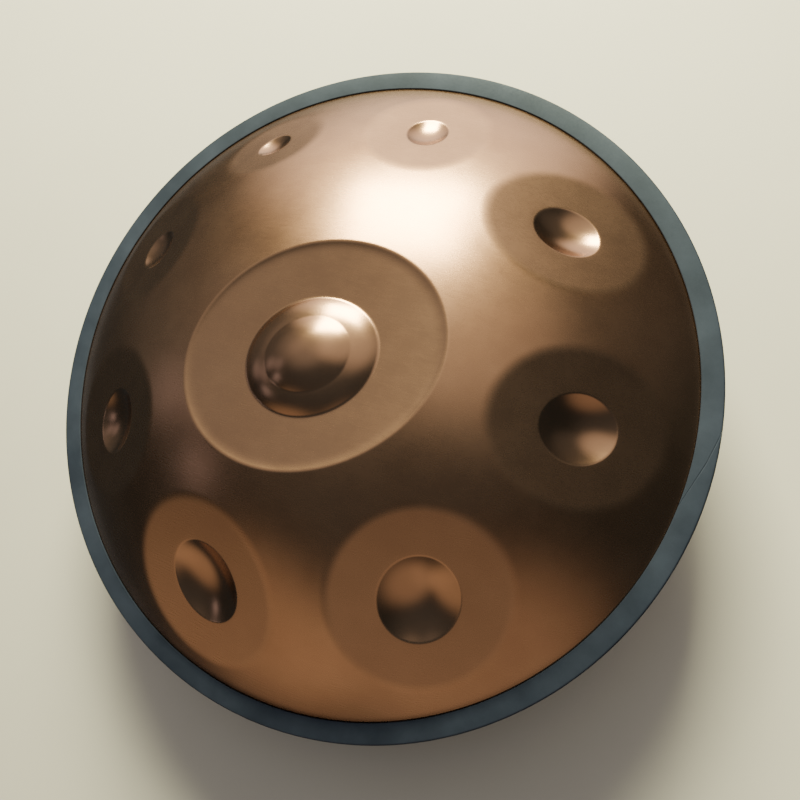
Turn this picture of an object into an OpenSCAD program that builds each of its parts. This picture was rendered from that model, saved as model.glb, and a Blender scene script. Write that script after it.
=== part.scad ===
// Handpan: two drawn steel shells glued flange to flange, with a rubber trim
// around the rim. The axis is +Z, the ding faces up and the body stands on the
// flat shoulder around its port at z = 0. All sizes are in millimetres.

/* [Shells] */
// Radius at which each dome meets its flange
rim_r = 265; // [255:1:275]
// Radius of the sphere that both domes are drawn to
dome_r = 372; // [350:1:400]
// Thickness of the sheet steel
sheet = 1.2; // [0.8:0.1:1.5]
// Width of the flat flange outside each dome
flange_w = 11; // [8:0.5:14]
// Thickness of the adhesive between the two flanges
glue_t = 0.4; // [0.2:0.1:0.8]

/* [Ding] */
// Length and width of the oval field around the ding
ding_field = [204, 166]; // [150:1:206]
// Length and width of the raised ding
ding_base = [103, 87]; // [70:1:110]
// Length and width of the second crown on the ding
ding_crown = [66, 55]; // [40:1:68]
// Turn of the ding's long axis from +X
ding_turn = 30; // [0:1:180]
// Distance that hammering has left the ding's field off the axis, along X and along Y
field_offset = [-2, -2]; // [-4:0.5:4]
// The same distance for the raised ding in that field
ding_offset = [-0.5, -3]; // [-4:0.5:4]
// Depth of the ding's field below the top of the dome
ding_sink = 14.5; // [12:0.5:20]
// Height of the ding's first crown above its field
ding_rise = 13.5; // [12:0.5:16]
// Height of the second crown above its own edge
crown_rise = 8; // [7:0.5:9]

/* [Tone fields, lowest note first] */
// Direction of each tone field from +X, counter-clockwise
note_azimuths = [308.5, 255, 0, 206.5, 44.5, 161.5, 86, 124]; // [0:0.5:360]
// Distance of each tone field's middle from the axis
note_radii = [188, 194, 191, 198, 202, 206, 205, 213]; // [185:1:214]
// Length of each tone field
field_lengths = [143, 141, 134, 126, 124, 108, 104, 90]; // [85:1:145]
// Width of each tone field
field_widths = [131, 127, 111, 119, 103, 104, 97, 81]; // [75:1:135]
// Length of each dimple
dimple_lengths = [68, 69, 58, 59, 51, 42, 38, 30]; // [28:1:70]
// Width of each dimple
dimple_widths = [59, 61, 49, 50, 42, 38, 33, 29]; // [25:1:65]
// Turn of each field's long axis from the line to the ding
field_turns = [-33, 40, 6, 25, -44, 12, 8, 66]; // [-90:1:90]
// Depth of a dimple as a share of its length
dimple_depth = 0.13; // [0.08:0.01:0.16]

/* [Port] */
// Radius of the port's bore
port_r = 50; // [40:1:52]
// Length of the straight neck inside the port
neck_l = 22; // [15:1:30]
// Radius of the lip that is turned in to the neck
lip_r = 5; // [3:0.5:6]
// Outer radius of the flat shoulder that the body stands on
shoulder_r = 66; // [62:1:80]

/* [Rim trim] */
// Width of the trim outside the domes
trim_w = 14; // [13:0.5:18]
// Thickness of the trim's legs on the flanges
trim_leg = 3.6; // [2:0.2:5]
// Distance that the tip of each leg reaches over the dome next to it
trim_lip = 2; // [0:0.2:3]
// Radius of the trim's outer corners
trim_corner = 2; // [1:0.5:3]
// Direction of the joint between the trim's two ends
splice_azimuth = 1; // [-180:1:180]
// Slant of that joint away from the radius
splice_slant = 75; // [0:1:75]
// Gap left at the joint
splice_gap = 0.3; // [0.2:0.1:1]

/* [Hidden] */
$fn = 180;
outline_sides = 60;
big = 2 * dome_r;
NOTES = len(note_azimuths);

// Distance from the sphere's middle down to the plane of radius r on it
function chord_h(r, ball = dome_r) = sqrt(ball * ball - r * r);
function sagitta(r) = dome_r - chord_h(r);
function ellipse(a, b) =
    [for (i = [0 : outline_sides - 1])
        let (turn = 360 * i / outline_sides) [a * cos(turn), b * sin(turn)]];

// Radius of the arc with a chord of the given length and rise
function arc_r(chord, rise) = (chord * chord / 4 + rise * rise) / (2 * rise);

// Heights, from the flat shoulder up
bottom_ball_z = chord_h(shoulder_r);
bottom_flange_z = bottom_ball_z - chord_h(rim_r);
glue_z = bottom_flange_z + sheet;
top_flange_z = glue_z + glue_t;
top_face_z = top_flange_z + sheet;
top_ball_z = top_face_z - chord_h(rim_r);
ding_floor = dome_r - ding_sink;
ding_arc = arc_r(ding_base[0], ding_rise);
ding_step = ding_rise - ding_arc + chord_h(ding_crown[0] / 2, ding_arc);
flange_r = rim_r + flange_w;
trim_r = rim_r + trim_w;

// Oval of revolution about X: its outline in the XY plane is a pointed oval of
// arc radius r_long, and its section across X is a circle of radius r_short
module oval_ball(r_long, r_short) {
    rotate([0, 90, 0])
        rotate_extrude()
            intersection() {
                translate([r_short - r_long, 0])
                    circle(r = r_long);
                translate([0, -r_long])
                    square([r_long, 2 * r_long]);
            }
}

// Oval ball whose cap above z = 0 has the length, width and rise given, with
// its skin moved out by grow
module oval_cap(size, rise, grow = 0) {
    r_long = arc_r(size[0], rise);
    r_short = arc_r(size[1], rise);
    translate([0, 0, rise - r_short])
        oval_ball(r_long + grow, r_short + grow);
}

// Frame of one tone field: z = 0 is the flat floor, x is the long axis
module at_field(i) {
    rotate([0, asin(note_radii[i] / dome_r), note_azimuths[i]])
        translate([0, 0, dome_r - sagitta(field_lengths[i] / 2)])
            rotate(field_turns[i])
                children();
}

// What the hammer takes off the dome at one field, with skin t inside it
module field_tool(i, t) {
    at_field(i) {
        translate([0, 0, -t])
            linear_extrude(dome_r)
                polygon(ellipse(field_lengths[i] / 2 + t, field_widths[i] / 2 + t));
        mirror([0, 0, 1])
            oval_cap([dimple_lengths[i], dimple_widths[i]],
                     dimple_depth * dimple_lengths[i], t);
    }
}

// The oval well that holds the ding's field
module ding_well(t) {
    translate([field_offset[0], field_offset[1], ding_floor - t])
        rotate(ding_turn)
            linear_extrude(dome_r)
                polygon(ellipse(ding_field[0] / 2 + t, ding_field[1] / 2 + t));
}

// The raised ding: an oval cap with a second, steeper crown on top
module ding_boss(t) {
    translate([ding_offset[0], ding_offset[1], ding_floor])
        rotate(ding_turn) {
            oval_cap(ding_base, ding_rise, -t);
            translate([0, 0, ding_step])
                oval_cap(ding_crown, crown_rise, -t);
        }
}

// The ding side's ball with its fields and ding, shrunk inwards by t
module top_body(t) {
    difference() {
        sphere(r = dome_r - t);
        for (i = [0 : NOTES - 1])
            field_tool(i, t);
        ding_well(t);
    }
    ding_boss(t);
}

module flange(z) {
    translate([0, 0, z])
        cylinder(r = flange_r, h = sheet);
}

module above(z) {
    translate([-dome_r, -dome_r, z])
        cube([big, big, dome_r]);
}

module top_shell() {
    color("#8a5f45")
        difference() {
            union() {
                intersection() {
                    translate([0, 0, top_ball_z])
                        top_body(0);
                    above(top_flange_z);
                }
                flange(top_flange_z);
            }
            intersection() {
                translate([0, 0, top_ball_z])
                    top_body(sheet);
                above(top_flange_z - sheet);
            }
        }
}

// Section of the lip and neck, from the shoulder's inner edge up the bore
module neck_section() {
    intersection() {
        translate([port_r + lip_r, lip_r])
            difference() {
                circle(r = lip_r);
                circle(r = lip_r - sheet);
            }
        translate([port_r, 0])
            square(lip_r);
    }
    translate([port_r, lip_r])
        square([sheet, neck_l]);
}

module bottom_shell() {
    color("#7d563f") {
        difference() {
            union() {
                intersection() {
                    translate([0, 0, bottom_ball_z])
                        sphere(r = dome_r);
                    cylinder(r = rim_r, h = glue_z);
                }
                flange(bottom_flange_z);
            }
            intersection() {
                translate([0, 0, bottom_ball_z])
                    sphere(r = dome_r - sheet);
                translate([0, 0, sheet])
                    cylinder(r = flange_r, h = glue_z);
            }
            translate([0, 0, -sheet])
                cylinder(r = port_r + lip_r, h = 3 * sheet);
        }
        rotate_extrude()
            neck_section();
    }
}

module flange_glue() {
    color("#3a3733")
        translate([0, 0, glue_z])
            difference() {
                cylinder(r = flange_r, h = glue_t);
                translate([0, 0, -glue_t])
                    cylinder(r = rim_r, h = 3 * glue_t);
            }
}

// Section of the U-shaped trim: rounded outside, with a square slot for the flanges
module trim_section() {
    low = bottom_flange_z - trim_leg;
    high = top_face_z + trim_leg;
    inner_r = rim_r - trim_lip - 1;
    corner_r = trim_r - trim_corner;
    difference() {
        union() {
            translate([inner_r, low])
                square([corner_r - inner_r, high - low]);
            translate([inner_r, low + trim_corner])
                square([trim_r - inner_r, high - low - 2 * trim_corner]);
            for (z = [low + trim_corner, high - trim_corner])
                translate([corner_r, z])
                    circle(r = trim_corner);
        }
        translate([inner_r - 1, bottom_flange_z])
            square([flange_r - inner_r + 1, top_face_z - bottom_flange_z]);
    }
}

// Space inside the trim: two cones that narrow away from the flanges, so that the
// inner side of each leg leans over the dome next to it
module trim_hollow() {
    lean = trim_lip / trim_leg;
    wide = rim_r + lean;
    narrow = rim_r - trim_lip - lean;
    translate([0, 0, bottom_flange_z - trim_leg - 1])
        cylinder(r1 = narrow, r2 = wide, h = trim_leg + 2);
    translate([0, 0, top_face_z - 1])
        cylinder(r1 = wide, r2 = narrow, h = trim_leg + 2);
}

module rim_trim() {
    color("#4c5a63")
        difference() {
            rotate_extrude()
                trim_section();
            trim_hollow();
            rotate(splice_azimuth)
                translate([rim_r + trim_w / 2, 0, 0])
                    rotate(splice_slant)
                        translate([-big / 10, -splice_gap / 2, 0])
                            cube([big / 5, splice_gap, 2 * top_face_z]);
        }
}

top_shell();
bottom_shell();
flange_glue();
rim_trim();
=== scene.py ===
import math
from collections import namedtuple

import bpy
import numpy as np
from mathutils import Matrix, Vector, geometry


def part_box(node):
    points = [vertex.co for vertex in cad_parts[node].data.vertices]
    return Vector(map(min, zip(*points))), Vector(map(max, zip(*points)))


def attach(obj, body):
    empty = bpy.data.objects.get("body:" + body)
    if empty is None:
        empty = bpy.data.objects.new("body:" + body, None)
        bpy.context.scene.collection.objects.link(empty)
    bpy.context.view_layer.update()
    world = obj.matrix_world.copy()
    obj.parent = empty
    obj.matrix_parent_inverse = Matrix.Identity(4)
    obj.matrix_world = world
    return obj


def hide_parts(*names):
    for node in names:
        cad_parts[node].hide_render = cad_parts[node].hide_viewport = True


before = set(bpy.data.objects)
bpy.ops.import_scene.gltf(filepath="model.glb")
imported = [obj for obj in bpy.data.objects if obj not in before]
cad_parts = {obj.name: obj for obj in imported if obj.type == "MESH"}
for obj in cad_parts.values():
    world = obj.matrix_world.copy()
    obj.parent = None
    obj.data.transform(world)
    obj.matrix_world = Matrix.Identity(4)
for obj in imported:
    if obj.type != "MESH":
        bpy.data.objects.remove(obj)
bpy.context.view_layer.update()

# Looks of a handpan: two steel shells glued at their flanges, with a rubber trim round
# the rim. Lengths are in metres and angles in degrees. The axis is +Z, the ding is up.

# Shells: the sphere that both domes are drawn to, the rim where they meet their flanges
DOME_R = 0.372
RIM_R = 0.265
SHEET = 0.0012

# Port in the lower shell: its bore, the straight neck, the lip and the flat shoulder
PORT_R = 0.050
NECK = 0.022
LIP_R = 0.005
SHOULDER_R = 0.066

# Width of the bend between each dome and its flange
FLANGE_BEND = 0.0006

# Rim trim: rounding of its outer corners and of the tips of its legs
TRIM_CORNER = 0.0016
TRIM_INNER_CORNER = 0.0007
# The dark gap between the trim and the foot of the domes
TRIM_SHADOW_GAP = 0.0006
# How far each leg leans over its dome, and how far its face swells in the middle
TRIM_LIP = 0.0026
TRIM_CROWN = 0.00015
# The joint of its two ends: its direction, its slant from the radius and its gap
SPLICE_AZIMUTH = 1.0
SPLICE_SLANT = 75.0
SPLICE_GAP = 0.00006

# One tone field: direction and distance of its middle from the axis, its length and
# width, its dimple's length and width, and the turn of its long axis
ToneField = namedtuple("ToneField", "azimuth radius size dimple turn")
TONE_FIELDS = [
    ToneField(308.5, 0.188, (0.143, 0.131), (0.068, 0.059), -33),
    ToneField(255.0, 0.194, (0.141, 0.127), (0.069, 0.061), 40),
    ToneField(0.0, 0.191, (0.134, 0.111), (0.058, 0.049), 6),
    ToneField(206.5, 0.198, (0.126, 0.119), (0.059, 0.050), 25),
    ToneField(44.5, 0.202, (0.124, 0.103), (0.051, 0.042), -44),
    ToneField(161.5, 0.206, (0.108, 0.104), (0.042, 0.038), 12),
    ToneField(86.0, 0.205, (0.104, 0.097), (0.038, 0.033), 8),
    ToneField(124.0, 0.213, (0.090, 0.081), (0.030, 0.029), 66),
]
# Share of the dome's roundness left in a tone field's floor: below 0 it is a bit hollow
FIELD_CROWN = -0.2
# Half the width of the soft bend at a tone field's border, and of a dimple's edge
BORDER_BEND = 0.0045
DIMPLE_BEND = 0.0010
# Depth of a dimple as a share of its length
DIMPLE_DEPTH = 0.13

# Ding: the lengths and widths of its oval field, of the raised dome in the field and of
# the crown on the dome, and the turn of their long axes
DING_FIELD = (0.204, 0.166)
DING_BASE = (0.103, 0.087)
DING_CROWN = (0.066, 0.055)
DING_TURN = 30
# Where the middle of the field is, and where the middle of the raised dome is
DING_AT = (-0.002, -0.002)
DOME_AT = (-0.0005, -0.003)
# Depth of the field, and height of the raised dome and how full it is: 2 is a paraboloid
DING_SINK = 0.014
DING_RISE = 0.0107
DING_FULLNESS = 3.2
# Height of the crown's foot above the field, and of the crown above its foot
CROWN_FOOT = 0.0082
CROWN_RISE = 0.008
# The last share of the field turns up towards its border by this much
TURN_UP = 0.0010
TURN_UP_SHARE = 0.10
# Half the widths of the bends at the field's border and at both feet, and the heights
# over which the dome and the crown blend into what is below them
DING_BORDER_BEND = 0.0015
DING_FOOT_BEND = 0.0012
CROWN_FOOT_BEND = 0.0007
DING_FOOT_BLEND = 0.00084
CROWN_FOOT_BLEND = 0.00021

# Mesh density: sectors of each round piece, rings of the lower bowl, steps of the trim
FIELD_SECTORS = 144
DING_SECTORS = 200
RIM_SECTORS = 400
BOWL_SECTORS = 360
BOWL_RINGS = 60
TRIM_STEPS = 720
# Spacing of the open dome's points, and their least share of it from a patch's edge
OPEN_STEP = 0.0055
OPEN_CLEARANCE = 0.7

# Heights and radii, read from the CAD parts in model.glb
FLANGE_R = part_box("top_shell")[1].x
FLANGE_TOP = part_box("flange_glue")[1].z + SHEET
FLANGE_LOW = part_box("flange_glue")[0].z - SHEET
TRIM_LOW, TRIM_HIGH = (corner.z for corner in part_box("rim_trim"))
TRIM_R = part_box("rim_trim")[1].x
BALL_Z = FLANGE_TOP - math.sqrt(DOME_R**2 - RIM_R**2)


# Shapes -------------------------------------------------------------------------------


def soft_min(a, b, reach):
    """The lower of two heights, rounded off where they differ by less than reach."""
    share = np.clip(0.5 + 0.5 * (b - a) / reach, 0, 1)
    return b * (1 - share) + a * share - reach * share * (1 - share)


def soft_max(a, b, reach):
    return -soft_min(-a, -b, reach)


def inside(s, full, gone):
    """1 where s is under full, 0 where it is over gone, and a soft step in between."""
    x = np.clip((gone - s) / (gone - full), 0, 1)
    return x * x * (3 - 2 * x)


def oval(u, v, size):
    """0 in the middle of an oval of this length and width, and 1 on its outline."""
    return np.hypot(u / (size[0] / 2), v / (size[1] / 2))


def cap_height(s, size, rise):
    """Height of a drawn cap: s is 0 at its top and 1 at its foot, where it is zero.

    Past its foot it runs on downwards, as steep as it is there."""
    half = (size[0] + size[1]) / 4
    ball = (half**2 + rise**2) / (2 * rise)
    foot = math.sqrt(ball**2 - half**2)
    across = np.minimum(s, 1) * half
    past = np.maximum(s - 1, 0) * half
    return np.sqrt(ball**2 - across**2) - foot - past * half / foot


def ball_height(x, y):
    return np.sqrt(DOME_R**2 - x**2 - y**2)


def tone_height(field, u, v):
    """Height over a tone field's own plane through the middle of the dome's sphere."""
    s = oval(u, v, field.size)
    t = oval(u, v, field.dimple)
    a, b = field.size[0] / 2, field.size[1] / 2
    sag = (1 - FIELD_CROWN) * a * b / (2 * DOME_R)
    bend = BORDER_BEND * 2 * sag / math.sqrt(a * b)
    dish = soft_min(sag * (s**2 - 1), 0, bend)
    depth = DIMPLE_DEPTH * field.dimple[0]
    edge = DIMPLE_BEND * 4 * depth / field.dimple[0]
    dimple = soft_min(depth * (t**2 - 1), 0, edge)
    return ball_height(u, v) + dish + dimple


def ding_plan(u, v):
    """Places (x, y) round the axis of places (u, v) in the ding's field."""
    turn = math.radians(DING_TURN)
    x = DING_AT[0] + u * math.cos(turn) - v * math.sin(turn)
    y = DING_AT[1] + u * math.sin(turn) + v * math.cos(turn)
    return x, y


def ding_dome_plan(u, v):
    """Places in the ding's field as seen from the middle of the raised dome."""
    turn = math.radians(DING_TURN)
    x, y = DING_AT[0] - DOME_AT[0], DING_AT[1] - DOME_AT[1]
    along = x * math.cos(turn) + y * math.sin(turn)
    across = y * math.cos(turn) - x * math.sin(turn)
    return u + along, v + across


def ding_height(u, v):
    """Height of the ding and its oval field above the middle of the dome's sphere."""
    s = oval(u, v, DING_FIELD)
    turned_up = np.minimum((1 - s) / TURN_UP_SHARE, 1)
    dish = DING_SINK * (s**2 - 1) - TURN_UP * (1 - (1 - turned_up) ** 3)
    slope = (2 * DING_SINK + 3 * TURN_UP / TURN_UP_SHARE) / (sum(DING_FIELD) / 4)
    field = ball_height(*ding_plan(u, v)) + soft_min(dish, 0, DING_BORDER_BEND * slope)
    u, v = ding_dome_plan(u, v)
    base = DING_RISE * (1 - oval(u, v, DING_BASE) ** DING_FULLNESS)
    crown = CROWN_FOOT + cap_height(oval(u, v, DING_CROWN), DING_CROWN, CROWN_RISE)
    boss = soft_max(base, crown, CROWN_FOOT_BLEND)
    return field + soft_max(boss, 0, DING_FOOT_BLEND)


def oval_rings(ovals, sectors):
    """Points (u, v) of the middle and then of each oval, the smallest one first."""
    turn = np.arange(sectors) * 2 * math.pi / sectors
    u = [np.zeros(1)] + [a / 2 * np.cos(turn) for a, b in ovals]
    v = [np.zeros(1)] + [b / 2 * np.sin(turn) for a, b in ovals]
    return np.concatenate(u), np.concatenate(v)


def ring_faces(rings, sectors, start):
    """Faces of such points: a fan round the middle and then quads, counter-clockwise."""
    faces = []
    for k in range(sectors):
        after = (k + 1) % sectors
        faces.append((start, start + 1 + k, start + 1 + after))
        for ring in range(rings - 1):
            low = start + 1 + ring * sectors
            high = low + sectors
            faces.append((low + k, high + k, high + after, low + after))
    return faces


def scaled(size, share):
    return (size[0] * share, size[1] * share)


def between(inner, outer, share):
    return tuple(i + (o - i) * share for i, o in zip(inner, outer))


def spread(size, out):
    """An oval moved outwards by a distance, the same all the way round."""
    return (size[0] + 2 * out, size[1] + 2 * out)


def tone_ovals(field):
    """Ovals that follow a tone field's dimple, then its floor, then its border.

    They stand close together where the shape bends."""
    edge, border = DIMPLE_BEND, BORDER_BEND
    ovals = [scaled(field.dimple, k / 9) for k in range(1, 9)]
    ovals += [spread(field.dimple, edge * k) for k in (-1.2, -0.6, 0, 0.6, 1.2)]
    inner, outer = spread(field.dimple, 1.2 * edge), spread(field.size, -1.2 * border)
    ovals += [between(inner, outer, k / 8) for k in range(1, 9)]
    ovals += [spread(field.size, border * k / 4) for k in (-3.6, -2.4, -1.2, 0, 1.2, 2.4, 3.6, 5)]
    return ovals


def ding_ovals():
    """Ovals that follow the crown, the raised dome and its foot, the field, its border."""
    crown, foot, border = CROWN_FOOT_BEND, DING_FOOT_BEND, DING_BORDER_BEND
    ovals = [scaled(DING_CROWN, k / 11) for k in range(1, 11)]
    ovals += [spread(DING_CROWN, crown * k) for k in (-1.6, -0.8, 0, 0.8, 1.6)]
    inner, outer = spread(DING_CROWN, 1.6 * crown), spread(DING_BASE, -1.8 * foot)
    ovals += [between(inner, outer, k / 7) for k in range(1, 8)]
    ovals += [spread(DING_BASE, foot * k) for k in (-1.2, -0.6, 0, 0.6, 1.2, 1.8)]
    inner = spread(DING_BASE, 1.8 * foot)
    outer = spread(scaled(DING_FIELD, 1 - TURN_UP_SHARE), -0.001)
    ovals += [between(inner, outer, k / 10) for k in range(1, 11)]
    inner, outer = outer, spread(DING_FIELD, -1.4 * border)
    ovals += [between(inner, outer, k / 6) for k in range(1, 7)]
    ovals += [spread(DING_FIELD, border * k) for k in (-1, -0.6, -0.3, 0, 0.3, 0.6, 1, 1.6)]
    return ovals


def field_axes(field):
    """Columns: a tone field's long axis, its short axis and the way it faces."""
    lean = math.asin(field.radius / DOME_R)
    place = Matrix.Rotation(math.radians(field.azimuth), 3, "Z")
    tilt = Matrix.Rotation(lean, 3, "Y")
    turn = Matrix.Rotation(math.radians(field.turn), 3, "Z")
    return np.array(place @ tilt @ turn)


def marks(u, v, size, pressed):
    """Per point: 1 on hammered ground, and 1 in a pressed dimple or on the ding."""
    return np.stack([inside(oval(u, v, size), 0.97, 1.03), pressed], axis=1)


def tone_patch(field):
    ovals = tone_ovals(field)
    u, v = oval_rings(ovals, FIELD_SECTORS)
    local = np.stack([u, v, tone_height(field, u, v)], axis=1)
    pressed = inside(oval(u, v, field.dimple), 0.98, 1.01)
    return local @ field_axes(field).T, marks(u, v, field.size, pressed), ovals


def ding_patch():
    """The ding's rings start round the raised dome's middle and end round the field's."""
    ovals = ding_ovals()
    u, v = oval_rings(ovals, DING_SECTORS)
    off_u, off_v = ding_dome_plan(0.0, 0.0)
    inner = spread(DING_BASE, 2 * DING_FOOT_BEND)
    width = np.concatenate([[0], np.repeat([o[0] for o in ovals], DING_SECTORS)])
    centred = np.clip((DING_FIELD[0] - width) / (DING_FIELD[0] - inner[0]), 0, 1)
    u, v = u - off_u * centred, v - off_v * centred
    x, y = ding_plan(u, v)
    pressed = inside(oval(*ding_dome_plan(u, v), DING_BASE), 0.99, 1.01)
    points = np.stack([x, y, ding_height(u, v)], axis=1)
    return points, marks(u, v, DING_FIELD, pressed), ovals


def flattened(points):
    """The dome rolled out flat: distances from the top along the sphere are kept."""
    lean = np.arctan2(np.hypot(points[:, 0], points[:, 1]), points[:, 2])
    way = np.arctan2(points[:, 1], points[:, 0])
    return np.stack([DOME_R * lean * np.cos(way), DOME_R * lean * np.sin(way)], axis=1)


def on_ball(lean, way):
    """Points of the sphere at these angles from the top and round the axis."""
    return np.stack(
        [
            DOME_R * np.sin(lean) * np.cos(way),
            DOME_R * np.sin(lean) * np.sin(way),
            DOME_R * np.cos(lean),
        ],
        axis=1,
    )


def covered(points, edges):
    """True for points of the sphere that one of the patches already covers."""
    hit = np.zeros(len(points), bool)
    for axes, at, size in edges:
        local = (points - at) @ axes
        hit |= (oval(local[:, 0], local[:, 1], size) < 1) & (local[:, 2] > 0)
    return hit


def open_points(loops, edges):
    """Points of the open dome in even rows, none close to a patch's edge."""
    rim_lean = math.asin(RIM_R / DOME_R)
    rows = round(DOME_R * rim_lean / OPEN_STEP)
    kept = []
    for row in range(1, rows):
        lean = rim_lean * row / rows
        count = max(6, round(2 * math.pi * DOME_R * math.sin(lean) / OPEN_STEP))
        way = (np.arange(count) + 0.5 * (row % 2)) * 2 * math.pi / count
        kept.append(on_ball(np.full(count, lean), way))
    points = np.concatenate(kept)
    points = points[~covered(points, edges)]
    flat, walls = flattened(points), flattened(np.concatenate(loops))
    gap = np.array([np.min(np.hypot(*(walls - p).T)) for p in flat])
    return points[gap > OPEN_CLEARANCE * OPEN_STEP]


def drawn_dome():
    """Points, faces and marks of the upper dome's outside, about its sphere's middle."""
    patches = [(*tone_patch(f), FIELD_SECTORS, field_axes(f), (0, 0)) for f in TONE_FIELDS]
    ding_axes = np.array(Matrix.Rotation(math.radians(DING_TURN), 3, "Z"))
    patches.append((*ding_patch(), DING_SECTORS, ding_axes, DING_AT))
    points, faces, painted, loops, loop_ids, edges = [], [], [], [], [], []
    count = 0
    for place, mark, ovals, sectors, axes, at in patches:
        faces += ring_faces(len(ovals), sectors, count)
        points.append(place)
        painted.append(mark)
        count += len(place)
        loops.append(place[-sectors:])
        loop_ids.append(list(range(count - sectors, count)))
        edges.append((axes, np.array([*at, 0]), ovals[-1]))
    way = np.arange(RIM_SECTORS) * 2 * math.pi / RIM_SECTORS
    rim = on_ball(np.full(RIM_SECTORS, math.asin(RIM_R / DOME_R)), way)
    inner = open_points(loops + [rim], edges)
    points += [rim, inner]
    painted += [np.zeros((len(rim) + len(inner), 2))]
    loops.append(rim)
    loop_ids.append(list(range(count, count + RIM_SECTORS)))
    inner_ids = list(range(count + RIM_SECTORS, count + RIM_SECTORS + len(inner)))
    points = np.concatenate(points)
    faces += open_faces(points, loop_ids, inner_ids, edges)
    return points, faces, np.concatenate(painted), loop_ids[-1]


def open_faces(points, loop_ids, inner_ids, edges):
    """Triangles between the patches and the rim, from the dome rolled out flat."""
    ids = [k for loop in loop_ids for k in loop] + inner_ids
    flat = [Vector(p) for p in flattened(points[ids])]
    walls, start = [], 0
    for loop in loop_ids:
        n = len(loop)
        walls += [(start + k, start + (k + 1) % n) for k in range(n)]
        start += n
    result = geometry.delaunay_2d_cdt(flat, walls, [], 0, 1e-9)
    names = [ids[olds[0]] for olds in result[3]]
    faces = [tuple(names[k] for k in tri) for tri in result[2]]
    middles = np.array([points[list(f)].mean(0) for f in faces])
    middles *= DOME_R / np.linalg.norm(middles, axis=1)[:, None]
    hidden = covered(middles, edges)
    return [f for f, skip in zip(faces, hidden) if not skip]


# Pieces -------------------------------------------------------------------------------


def make_piece(name, points, faces, material, node):
    mesh = bpy.data.meshes.new(name)
    mesh.from_pydata([tuple(p) for p in points], [], faces)
    mesh.validate()
    mesh.polygons.foreach_set("use_smooth", [True] * len(mesh.polygons))
    mesh.materials.append(material)
    piece = bpy.data.objects.new(name, mesh)
    bpy.context.collection.objects.link(piece)
    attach(piece, "root")
    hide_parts(node)
    return piece


def paint(mesh, names, values):
    for k, name in enumerate(names):
        layer = mesh.attributes.new(name, "FLOAT", "POINT")
        layer.data.foreach_set("value", np.ascontiguousarray(values[:, k], np.float32))


def point_normals(points, faces):
    """Normals at the points, weighted by the faces' areas."""
    normals = np.zeros_like(points)
    for sides in (3, 4):
        group = np.array([f for f in faces if len(f) == sides])
        if len(group) == 0:
            continue
        corner = points[group]
        face_normal = np.cross(corner[:, 1] - corner[:, 0], corner[:, 2] - corner[:, 0])
        if sides == 4:
            face_normal = np.cross(corner[:, 2] - corner[:, 0], corner[:, 3] - corner[:, 1])
        for side in range(sides):
            np.add.at(normals, group[:, side], face_normal)
    return normals / np.linalg.norm(normals, axis=1)[:, None]


def ring_ids(count, sectors):
    """Numbers of the points in each of so many rings."""
    return [list(range(k * sectors, (k + 1) * sectors)) for k in range(count)]


def ring_points(profile, sectors):
    """Points of a profile of (radius, height) pairs turned round the axis."""
    way = np.arange(sectors) * 2 * math.pi / sectors
    rings = [np.stack([r * np.cos(way), r * np.sin(way), np.full(sectors, z)], 1)
             for r, z in profile]
    return np.concatenate(rings)


def band_faces(ids_in, ids_out):
    """Quads between two rings with the same count, facing up if they run outwards."""
    n = len(ids_in)
    return [(ids_in[k], ids_out[k], ids_out[(k + 1) % n], ids_in[(k + 1) % n])
            for k in range(n)]


def make_top_shell(material):
    """The upper dome and its flange, and the same skin again a sheet's thickness below."""
    points, faces, painted, rim_ids = drawn_dome()
    points = points + np.array([0, 0, BALL_Z])
    flange = [(RIM_R + FLANGE_BEND, FLANGE_TOP), (FLANGE_R, FLANGE_TOP)]
    start = len(points)
    points = np.concatenate([points, ring_points(flange, RIM_SECTORS)])
    painted = np.concatenate([painted, np.zeros((2 * RIM_SECTORS, 2))])
    first, last = ([start + k for k in ring] for ring in ring_ids(2, RIM_SECTORS))
    faces += band_faces(rim_ids, first) + band_faces(first, last)
    normals = point_normals(points, faces)
    under = points - SHEET * normals
    under[last] = points[last] - np.array([0, 0, SHEET])
    under[first] = points[first] - np.array([0, 0, SHEET])
    count = len(points)
    faces += [tuple(count + k for k in reversed(f)) for f in faces]
    faces += band_faces([k + count for k in last][::-1], last[::-1])
    points = np.concatenate([points, under])
    piece = make_piece("drawn_top_shell", points, faces, material, "top_shell")
    paint(piece.data, ("worked", "pressed"), np.concatenate([painted, painted]))
    return piece


def arc(middle, radius, start, end, steps):
    """Points of an arc in the (radius, height) plane."""
    turns = np.radians(np.linspace(start, end, steps + 1))
    return [(middle[0] + radius * math.cos(t), middle[1] + radius * math.sin(t))
            for t in turns]


def bowl_side(ball, ball_z, edge, foot):
    """One side of the lower dome, from the foot's radius up to the edge's."""
    turns = np.linspace(math.asin(foot / ball), math.asin(edge / ball), BOWL_RINGS + 1)
    return [(ball * math.sin(t), ball_z - ball * math.cos(t)) for t in turns]


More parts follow.
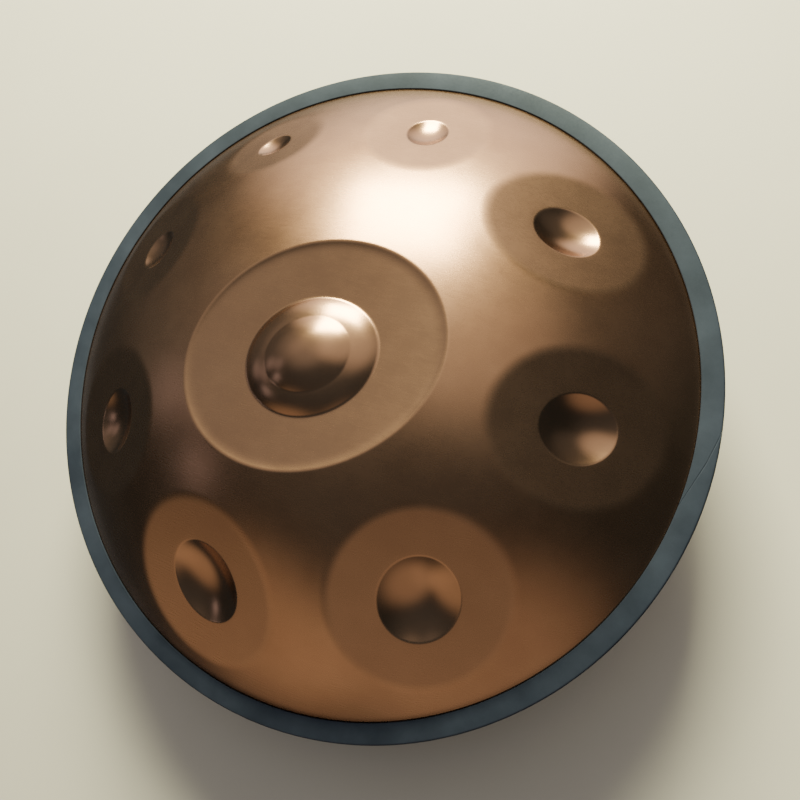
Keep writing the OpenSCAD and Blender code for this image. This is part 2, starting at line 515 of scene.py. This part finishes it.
def bottom_profile():
    """Closed section of the lower shell, outside first, from the neck round the bowl."""
    ball, inner_ball = DOME_R, DOME_R - SHEET
    ball_z = math.sqrt(ball**2 - SHOULDER_R**2)
    lip = (PORT_R + LIP_R, LIP_R)
    neck_top = LIP_R + NECK
    neck_side, neck_edge = neck_top - NECK / 2, neck_top - SHEET / 3
    flange_z = FLANGE_LOW + SHEET
    inner_foot = math.sqrt(inner_ball**2 - (ball_z - SHEET) ** 2)
    inner_rim = math.sqrt(inner_ball**2 - (ball_z - flange_z) ** 2)
    outer = [(PORT_R, neck_edge), (PORT_R, neck_side)]
    outer += arc(lip, LIP_R, 180, 270, 10)
    outer += bowl_side(ball, ball_z, RIM_R, SHOULDER_R)
    outer += [(RIM_R + FLANGE_BEND, FLANGE_LOW), (FLANGE_R, FLANGE_LOW)]
    inner = [(FLANGE_R, flange_z), (inner_rim + FLANGE_BEND, flange_z)]
    inner += bowl_side(inner_ball, ball_z, inner_rim, inner_foot)[::-1]
    inner += arc(lip, LIP_R - SHEET, 270, 180, 8)
    inner += [(PORT_R + SHEET, neck_side), (PORT_R + SHEET, neck_edge)]
    inner += arc((PORT_R + SHEET / 2, neck_top - SHEET / 2), SHEET / 2, 20, 160, 4)
    return outer + inner


def turned(profile, sectors):
    """Points and faces of a closed profile turned once round the axis."""
    rings = ring_ids(len(profile), sectors)
    faces = []
    for k, ring in enumerate(rings):
        faces += band_faces(ring, rings[(k + 1) % len(rings)])
    return ring_points(profile, sectors), [tuple(reversed(f)) for f in faces]


def make_bottom_shell(material):
    points, faces = turned(bottom_profile(), BOWL_SECTORS)
    piece = make_piece("drawn_bottom_shell", points, faces, material,
                       "bottom_shell")
    paint(piece.data, ("worked", "pressed"), np.zeros((len(points), 2)))
    return piece


def trim_profile():
    """Closed section of the U-shaped trim, from its slot's lower edge round its outside.

    Each leg's inner side leans over the dome next to it and stays just clear of it."""
    inner = RIM_R + TRIM_SHADOW_GAP
    tip = inner - TRIM_LIP
    corner, lip, crown = TRIM_CORNER, TRIM_INNER_CORNER, TRIM_CROWN
    high, low = TRIM_HIGH - crown, TRIM_LOW + crown
    middle_r = (inner + TRIM_R) / 2
    lip_end = 1.6 * lip
    section = [(inner, FLANGE_LOW), (tip, low + lip_end)]
    section += arc((tip + lip, low + lip), lip, 190, 270, 5)
    section += [(middle_r, TRIM_LOW)]
    section += arc((TRIM_R - corner, low + corner), corner, 270, 360, 7)
    section += arc((TRIM_R - corner, high - corner), corner, 0, 90, 7)
    section += [(middle_r, TRIM_HIGH)]
    section += arc((tip + lip, high - lip), lip, 90, 170, 5)
    section += [(tip, high - lip_end), (inner, FLANGE_TOP), (FLANGE_R, FLANGE_TOP)]
    section += [(FLANGE_R, FLANGE_LOW)]
    return section


def make_rim_trim(material):
    """The trim runs once round the rim, and its two slanted ends meet at the splice."""
    section = trim_profile()
    mid_r = (RIM_R + TRIM_R) / 2
    slant = math.tan(math.radians(SPLICE_SLANT)) / mid_r
    gap = SPLICE_GAP / math.cos(math.radians(SPLICE_SLANT)) / mid_r
    turns = np.linspace(gap / 2, 2 * math.pi - gap / 2, TRIM_STEPS + 1)
    points, faces, n = [], [], len(section)
    for turn in turns:
        for r, z in section:
            way = math.radians(SPLICE_AZIMUTH) + turn + slant * (r - mid_r)
            points.append((r * math.cos(way), r * math.sin(way), z))
    for k in range(TRIM_STEPS):
        for j in range(n):
            a, b = k * n + j, k * n + (j + 1) % n
            faces.append((a, a + n, b + n, b))
    faces.append(tuple(range(n)))
    faces.append(tuple(reversed(range(len(points) - n, len(points)))))
    piece = make_piece("rubber_rim_trim", points, faces, material, "rim_trim")
    for cut_end in piece.data.polygons[-2:]:
        cut_end.use_smooth = False
    return piece


# Materials ----------------------------------------------------------------------------


class Nodes:
    """Short calls for building one material's nodes."""

    def __init__(self, name):
        self.material = bpy.data.materials.new(name)
        self.material.use_nodes = True
        self.tree = self.material.node_tree
        self.shader = self.tree.nodes["Principled BSDF"]

    def add(self, kind, inputs=(), **settings):
        node = self.tree.nodes.new(kind)
        for key, value in settings.items():
            setattr(node, key, value)
        for key, value in dict(inputs).items():
            self.put(node.inputs[key], value)
        return node

    def put(self, socket, value):
        if isinstance(value, bpy.types.NodeSocket):
            self.tree.links.new(value, socket)
        else:
            socket.default_value = value

    def place(self, scale):
        where = self.add("ShaderNodeTexCoord").outputs["Object"]
        return self.add("ShaderNodeMapping", {"Vector": where, "Scale": scale}).outputs[0]

    def noise(self, scale, detail, roughness=0.5, stretch=(1, 1, 1)):
        inputs = {"Vector": self.place(stretch), "Scale": scale, "Detail": detail}
        inputs["Roughness"] = roughness
        return self.add("ShaderNodeTexNoise", inputs).outputs["Fac"]

    def mark(self, name):
        return self.add("ShaderNodeAttribute", attribute_name=name).outputs["Fac"]

    def math(self, operation, a, b):
        return self.add("ShaderNodeMath", {0: a, 1: b}, operation=operation).outputs[0]

    def ramp(self, value, low, high, to_low=0.0, to_high=1.0):
        inputs = {"Value": value, "From Min": low, "From Max": high}
        inputs.update({"To Min": to_low, "To Max": to_high})
        return self.add("ShaderNodeMapRange", inputs).outputs["Result"]

    def mix(self, share, a, b):
        node = self.add("ShaderNodeMix", data_type="RGBA")
        self.put(node.inputs["Factor"], share)
        self.put(node.inputs["A"], a)
        self.put(node.inputs["B"], b)
        return node.outputs["Result"]

    def bump(self, height, strength, distance):
        inputs = {"Height": height, "Strength": strength, "Distance": distance}
        return self.add("ShaderNodeBump", inputs).outputs["Normal"]


# Steel: its colour between the clouds of tint, in them and on hammered ground
STEEL_DEEP = (0.365, 0.205, 0.127, 1)
STEEL_WARM = (0.45, 0.27, 0.172, 1)
STEEL_WORKED = (0.415, 0.252, 0.163, 1)


def shell_steel():
    """Heat-coloured satin steel: cloudy tints, uneven sheen, smoother where pressed."""
    m = Nodes("shell_steel")
    cloud = m.noise(7, 4, 0.55)
    blotch = m.noise(38, 5, 0.6)
    smears = m.noise(60, 4, 0.6, (1, 9, 9))
    grain = m.noise(1400, 2, 0.7)
    tint = m.mix(m.ramp(cloud, 0.35, 0.68), STEEL_DEEP, STEEL_WARM)
    worked = m.math("MULTIPLY", m.mark("worked"), 0.55)
    tint = m.mix(worked, tint, STEEL_WORKED)
    shade = m.ramp(m.math("ADD", blotch, grain), 0.7, 1.3, 0.94, 1.05)
    shaded = m.add("ShaderNodeVectorMath", {0: tint, "Scale": shade}, operation="SCALE")
    m.put(m.shader.inputs["Base Color"], shaded.outputs[0])
    m.shader.inputs["Metallic"].default_value = 1.0
    rough = m.ramp(m.math("ADD", smears, blotch), 0.6, 1.4, 0.255, 0.29)
    rough = m.math("SUBTRACT", rough, m.math("MULTIPLY", m.mark("pressed"), 0.05))
    m.put(m.shader.inputs["Roughness"], rough)
    m.put(m.shader.inputs["Normal"], m.bump(grain, 0.25, 0.00006))
    return m.material


# Rubber: its colour without and with bloom, and the tint of its sheen
RUBBER_DARK = (0.0165, 0.0215, 0.039, 1)
RUBBER_LIGHT = (0.030, 0.0385, 0.066, 1)
RUBBER_SHEEN = (0.60, 0.78, 1.0, 1)


def trim_rubber():
    """Slate rubber, matt, with a bloom that comes and goes and a fine moulded grain."""
    m = Nodes("trim_rubber")
    bloom = m.noise(24, 5, 0.6)
    grain = m.noise(1100, 3, 0.6)
    tint = m.mix(m.ramp(bloom, 0.35, 0.7), RUBBER_DARK, RUBBER_LIGHT)
    m.put(m.shader.inputs["Base Color"], tint)
    m.put(m.shader.inputs["Roughness"], m.ramp(grain, 0.3, 0.7, 0.52, 0.66))
    m.shader.inputs["Specular IOR Level"].default_value = 0.25
    m.shader.inputs["Specular Tint"].default_value = RUBBER_SHEEN
    m.put(m.shader.inputs["Normal"], m.bump(grain, 0.35, 0.00012))
    return m.material


ADHESIVE_DARK = (0.035, 0.032, 0.028, 1)
ADHESIVE_LIGHT = (0.06, 0.055, 0.05, 1)


def flange_adhesive():
    """Dark cured adhesive, slightly lumpy."""
    m = Nodes("flange_adhesive")
    lump = m.noise(320, 3, 0.6)
    tint = m.mix(m.ramp(lump, 0.3, 0.7), ADHESIVE_DARK, ADHESIVE_LIGHT)
    m.put(m.shader.inputs["Base Color"], tint)
    m.put(m.shader.inputs["Roughness"], m.ramp(lump, 0.3, 0.7, 0.4, 0.55))
    m.put(m.shader.inputs["Normal"], m.bump(lump, 0.3, 0.0002))
    return m.material


FLOOR_DARK = (0.60, 0.585, 0.56, 1)
FLOOR_LIGHT = (0.64, 0.625, 0.60, 1)


def floor_paint():
    """Pale matt paint, faintly mottled, for the studio's floor and wall."""
    m = Nodes("floor_paint")
    mottle = m.noise(3, 5, 0.6)
    grain = m.noise(500, 2, 0.5)
    tint = m.mix(m.ramp(mottle, 0.3, 0.7), FLOOR_DARK, FLOOR_LIGHT)
    m.put(m.shader.inputs["Base Color"], tint)
    m.put(m.shader.inputs["Roughness"], m.ramp(grain, 0.3, 0.7, 0.6, 0.75))
    m.put(m.shader.inputs["Normal"], m.bump(grain, 0.1, 0.0002))
    return m.material


# Stage --------------------------------------------------------------------------------

# The floor's radius, and the round wall's bend out of it and its height
FLOOR_REACH = 4.0
WALL_BEND = 1.5
WALL_HIGH = 5.0
# Mesh density of both
FLOOR_RINGS = 40
WALL_RINGS = 16
STAGE_SECTORS = 96

# Point on the axis that the soft light faces
AIM = Vector((0, 0, FLANGE_TOP + 0.05))


def stage_surface(name, profile, material, filled):
    """A smooth surface turned round the axis, with or without its middle filled in."""
    rings = ring_ids(len(profile), STAGE_SECTORS)
    faces = [quad for near, far in zip(rings, rings[1:]) for quad in band_faces(near, far)]
    if filled:
        faces.append(tuple(rings[0]))
    mesh = bpy.data.meshes.new(name)
    mesh.from_pydata([tuple(p) for p in ring_points(profile, STAGE_SECTORS)], [], faces)
    mesh.polygons.foreach_set("use_smooth", [True] * len(mesh.polygons))
    mesh.materials.append(material)
    surface = bpy.data.objects.new(name, mesh)
    bpy.context.collection.objects.link(surface)
    return surface


def make_floor(material):
    """The floor is kept out of the dome's reflections."""
    steps = range(1, FLOOR_RINGS + 1)
    profile = [(FLOOR_REACH * k / FLOOR_RINGS, 0) for k in steps]
    floor = stage_surface("studio_floor", profile, material, filled=True)
    floor.visible_glossy = False


def make_backdrop(material):
    """A round wall that bends up out of the floor. It is there for the camera alone, so
    it neither shades the floor nor hides the studio's soft glows from the dome."""
    bend_at = (FLOOR_REACH - WALL_BEND, WALL_BEND)
    profile = arc(bend_at, WALL_BEND, 270, 360, WALL_RINGS) + [(FLOOR_REACH, WALL_HIGH)]
    wall = stage_surface("studio_backdrop", profile, material, filled=False)
    wall.visible_glossy = wall.visible_diffuse = wall.visible_shadow = False


def towards(azimuth, elevation):
    """Unit vector that points this way from the axis."""
    a, e = math.radians(azimuth), math.radians(elevation)
    return Vector((math.cos(a) * math.cos(e), math.sin(a) * math.cos(e), math.sin(e)))


def soft_light(name, azimuth, elevation, distance, size, watts, colour):
    """A flat soft light of size (width, height), facing the dome."""
    data = bpy.data.lights.new(name, "AREA")
    data.shape = "RECTANGLE"
    data.size, data.size_y = size
    data.energy = watts
    data.color = colour
    light = bpy.data.objects.new(name, data)
    light.location = AIM + towards(azimuth, elevation) * distance
    light.rotation_euler = towards(azimuth, elevation).to_track_quat("Z", "Y").to_euler()
    light.visible_camera = False
    bpy.context.collection.objects.link(light)


# Soft parts of the studio: direction, angle inside which one is full and outside which
# it is gone, and colour times strength
Glow = namedtuple("Glow", "azimuth elevation full gone colour")
GLOWS = [
    Glow(106, 6, 11, 41, (2.2, 1.98, 1.68)),
    Glow(61, 60, 8, 33, (0.80, 0.71, 0.57)),
    Glow(150, 66, 6, 34, (0.33, 0.30, 0.26)),
    Glow(155, 40, 6, 26, (0.17, 0.155, 0.14)),
    Glow(161, 19, 6, 34, (0.11, 0.11, 0.105)),
    Glow(46, 22, 8, 34, (0.085, 0.085, 0.08)),
    Glow(-111, 13, 10, 31, (0.55, 0.40, 0.255)),
    Glow(-86, 8, 8, 28, (0.13, 0.10, 0.065)),
    Glow(-59, 12, 14, 38, (0.46, 0.34, 0.23)),
    Glow(-151, 31, 1.5, 6.5, (0.80, 0.75, 0.84)),
    Glow(-172, 22, 2, 9, (0.42, 0.38, 0.41)),
    Glow(-169, 36, 2, 9, (0.42, 0.38, 0.41)),
    Glow(0, 90, 10, 70, (0.062, 0.066, 0.068)),
    Glow(0, -90, 16, 40, (0.5, 0.48, 0.45)),
]
# The dim light that comes from everywhere else
ROOM = (0.034, 0.043, 0.046)


def make_studio():
    """Dark surroundings with a few wide soft glows: the world around the dome."""
    world = bpy.data.worlds.new("studio")
    world.use_nodes = True
    tree = world.node_tree
    back = tree.nodes["Background"]
    way = tree.nodes.new("ShaderNodeTexCoord").outputs["Generated"]
    room = tree.nodes.new("ShaderNodeCombineXYZ")
    for socket, level in zip(room.inputs, ROOM):
        socket.default_value = level
    total = room.outputs[0]
    for glow in GLOWS:
        near = tree.nodes.new("ShaderNodeVectorMath")
        near.operation = "DOT_PRODUCT"
        near.inputs[1].default_value = towards(glow.azimuth, glow.elevation)
        tree.links.new(way, near.inputs[0])
        share = tree.nodes.new("ShaderNodeMapRange")
        share.interpolation_type = "SMOOTHSTEP"
        share.inputs["From Min"].default_value = math.cos(math.radians(glow.gone))
        share.inputs["From Max"].default_value = math.cos(math.radians(glow.full))
        tree.links.new(near.outputs["Value"], share.inputs["Value"])
        tinted = tree.nodes.new("ShaderNodeVectorMath")
        tinted.operation = "SCALE"
        tinted.inputs[0].default_value = glow.colour
        tree.links.new(share.outputs["Result"], tinted.inputs["Scale"])
        added = tree.nodes.new("ShaderNodeVectorMath")
        tree.links.new(total, added.inputs[0])
        tree.links.new(tinted.outputs[0], added.inputs[1])
        total = added.outputs[0]
    tree.links.new(total, back.inputs["Color"])
    bpy.context.scene.world = world


def make_lights():
    """One warm softbox behind the dome, seen in it as the cream highlight."""
    soft_light("key_softbox", azimuth=102, elevation=33, distance=1.8, size=(0.85, 0.75),
               watts=140, colour=(1.0, 0.96, 0.57))


# Camera: its place, its turns about X, Y and Z, its lens in millimetres, its shift
CAMERA_AT = (0.2556, -0.0921, 0.7545)
CAMERA_TURN = (12.70, 18.99, 18.23)
CAMERA_LENS = 38.4
CAMERA_SHIFT = 0.069


def make_camera():
    data = bpy.data.cameras.new("camera")
    data.sensor_width = 36
    data.lens = CAMERA_LENS
    data.shift_x = CAMERA_SHIFT
    data.clip_start, data.clip_end = 0.01, 50
    camera = bpy.data.objects.new("camera", data)
    camera.location = CAMERA_AT
    camera.rotation_euler = [math.radians(turn) for turn in CAMERA_TURN]
    bpy.context.collection.objects.link(camera)
    bpy.context.scene.camera = camera


make_camera()
make_lights()
make_studio()
paintwork = floor_paint()
make_floor(paintwork)
make_backdrop(paintwork)
steel = shell_steel()
make_top_shell(steel)
make_bottom_shell(steel)
make_rim_trim(trim_rubber())
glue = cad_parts["flange_glue"]
glue.data.materials[0] = flange_adhesive()
